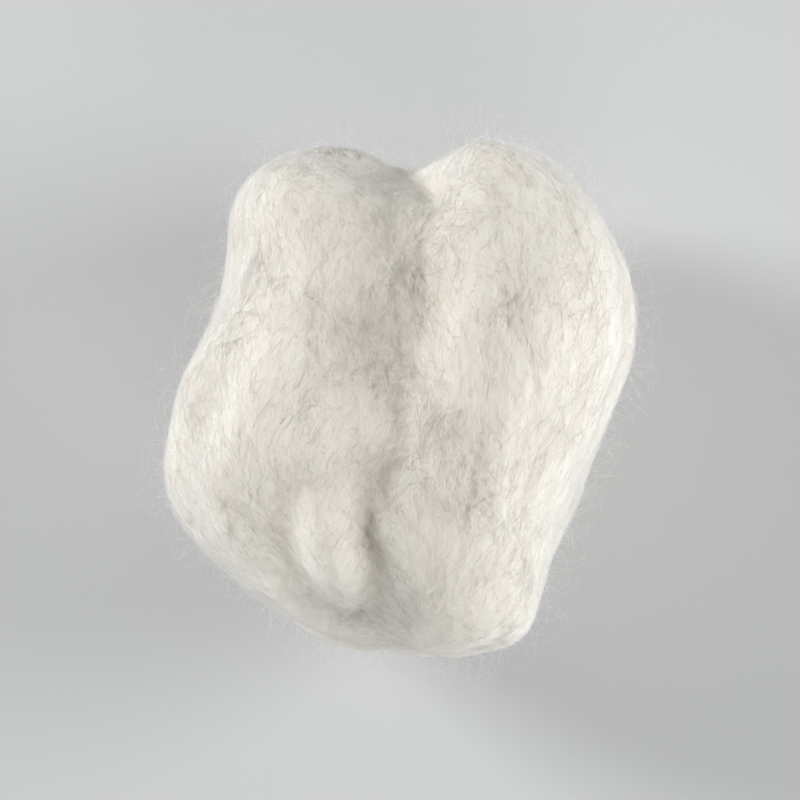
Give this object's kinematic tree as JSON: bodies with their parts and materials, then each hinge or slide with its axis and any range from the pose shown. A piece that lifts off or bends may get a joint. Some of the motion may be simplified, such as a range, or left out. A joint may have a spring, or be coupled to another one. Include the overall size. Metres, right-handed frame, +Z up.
{
  "type": "cotton ball",
  "caption": "Soft white ball of rolled carded cotton: a short barrel of two lobes with a valley between them, tucked ends and soft creases, lying on a small flat spot.",
  "frame": {"origin": "middle of the ball's box in plan, on the surface that the ball lies on", "axes": "+Z up from the surface, +Y along the roll's long axis towards its fuller end (the head), +X across the roll towards the lobe that reaches further"},
  "size_m": [0.0424, 0.0466, 0.0346],
  "materials": {
    "cotton": "matte, fibrous"
  },
  "bodies": {
    "root": {"cotton_ball": "cotton"}
  },
  "joints": []
}
